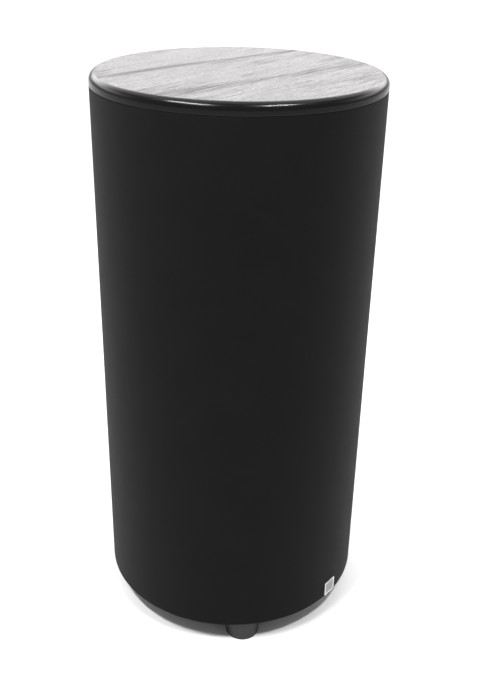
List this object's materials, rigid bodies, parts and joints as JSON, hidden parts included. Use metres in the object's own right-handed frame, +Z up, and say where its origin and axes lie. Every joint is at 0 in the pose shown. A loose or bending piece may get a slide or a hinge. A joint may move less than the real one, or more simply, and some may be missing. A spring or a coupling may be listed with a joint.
{
  "type": "subwoofer",
  "caption": "Cylindrical floor-standing subwoofer: cloth-covered tube, flat wooden cap, down-firing woofer between feet, rear reflex port and amplifier panel.",
  "frame": {"origin": "on the floor under the cylinder's axis", "axes": "+Z up, -Y towards the badge at the front, +Y towards the amplifier panel at the back, +X to the right seen from the front"},
  "size_m": [0.422, 0.4254, 0.869],
  "materials": {
    "veneer": "black open-grain veneer under satin lacquer",
    "fibreboard": "bare fibreboard",
    "fibre_tube": "bare wound fibre",
    "painted_board": "fibreboard painted matt black",
    "cloth": "black acoustically open knit",
    "wadding": "polyester wadding",
    "rubber": "matt",
    "surround": "satin",
    "basket": "black powder coat",
    "cone": "coated pulp, black",
    "spider": "resin-dipped corrugated cloth",
    "coil": "copper winding on an aluminium former",
    "ferrite": "ceramic magnet, dull",
    "plated_steel": "zinc plated",
    "port": "moulded, fine texture",
    "frame_plastic": "moulded, fine texture",
    "panel": "fine-textured black powder coat",
    "knob": "satin",
    "socket": "moulded",
    "rocker": "glossy",
    "lens": "translucent blue",
    "badge": "brushed, plain",
    "board": "green solder mask",
    "fins": "extruded",
    "core": "laminated core, varnished",
    "sleeving": "shrink sleeve",
    "wire": "insulated wire"
  },
  "bodies": {
    "cabinet": {"top_cap": "veneer", "top_plug": "fibreboard", "cabinet_tube": "fibre_tube", "cloth_sleeve": "cloth", "bottom_baffle": "painted_board", "baffle_ring": "fibreboard", "wadding": "wadding", "badge": "badge", "foot_front_left": "rubber", "foot_front_right": "rubber", "foot_back_right": "rubber", "foot_back_left": "rubber", "foot_screw_front_left": "plated_steel", "foot_screw_front_right": "plated_steel", "foot_screw_back_right": "plated_steel", "foot_screw_back_left": "plated_steel", "woofer_basket": "basket", "woofer_gasket": "rubber", "surround": "surround", "spider": "spider", "magnet_top_plate": "plated_steel", "magnet": "ferrite", "magnet_yoke": "plated_steel", "woofer_terminals": "socket", "woofer_lead": "wire", "port_mouth": "port", "port_bend": "port", "port_riser": "port", "port_inner_flare": "port", "port_brace": "fibreboard", "amplifier_frame": "frame_plastic", "amplifier_gasket": "rubber", "amplifier_plate": "panel", "pot_gain": "plated_steel", "pot_phase": "plated_steel", "pot_lowpass": "plated_steel", "rocker_bezel": "socket", "auto_switch_body": "plated_steel", "fuse_holder": "socket", "status_led": "lens", "rca_block": "socket", "trigger_jack": "plated_steel", "power_inlet": "socket", "circuit_board": "board", "heatsink": "fins", "transformer": "core", "capacitor_1": "sleeving", "capacitor_2": "sleeving"},
    "cone": {"cone": "cone", "dust_cap": "cone", "voice_coil": "coil"},
    "gain_knob": {"knob_gain": "knob", "shaft_gain": "plated_steel"},
    "phase_knob": {"knob_phase": "knob", "shaft_phase": "plated_steel"},
    "lowpass_knob": {"knob_lowpass": "knob", "shaft_lowpass": "plated_steel"},
    "rocker": {"power_rocker": "rocker"},
    "mode_lever": {"auto_switch": "knob"},
    "fuse_carrier": {"fuse_cap": "socket"}
  },
  "joints": [
    {"name": "cone_stroke", "type": "slide", "parent": "cabinet", "child": "cone", "axis": [0, 0, 1], "range_m": [-0.012, 0.012], "stiffness_N_per_m": 3000, "deforming": ["surround", "spider"]},
    {"name": "gain_turn", "type": "hinge", "parent": "cabinet", "child": "gain_knob", "pos_m": [-0.056, 0.19, 0.318], "axis": [0, -1, 0], "range_deg": [-150, 150]},
    {"name": "phase_turn", "type": "hinge", "parent": "cabinet", "child": "phase_knob", "pos_m": [0, 0.19, 0.318], "axis": [0, -1, 0], "range_deg": [-150, 150]},
    {"name": "lowpass_turn", "type": "hinge", "parent": "cabinet", "child": "lowpass_knob", "pos_m": [0.056, 0.19, 0.318], "axis": [0, -1, 0], "range_deg": [-150, 150]},
    {"name": "power_rock", "type": "hinge", "parent": "cabinet", "child": "rocker", "pos_m": [0.024, 0.181, 0.126], "axis": [1, 0, 0], "range_deg": [-16, 0]},
    {"name": "mode_slide", "type": "slide", "parent": "cabinet", "child": "mode_lever", "axis": [0, 0, 1], "range_m": [0, 0.004]},
    {"name": "fuse_twist", "type": "hinge", "parent": "cabinet", "child": "fuse_carrier", "pos_m": [0.066, 0.186, 0.126], "axis": [0, 1, 0], "range_deg": [0, 90]}
  ]
}
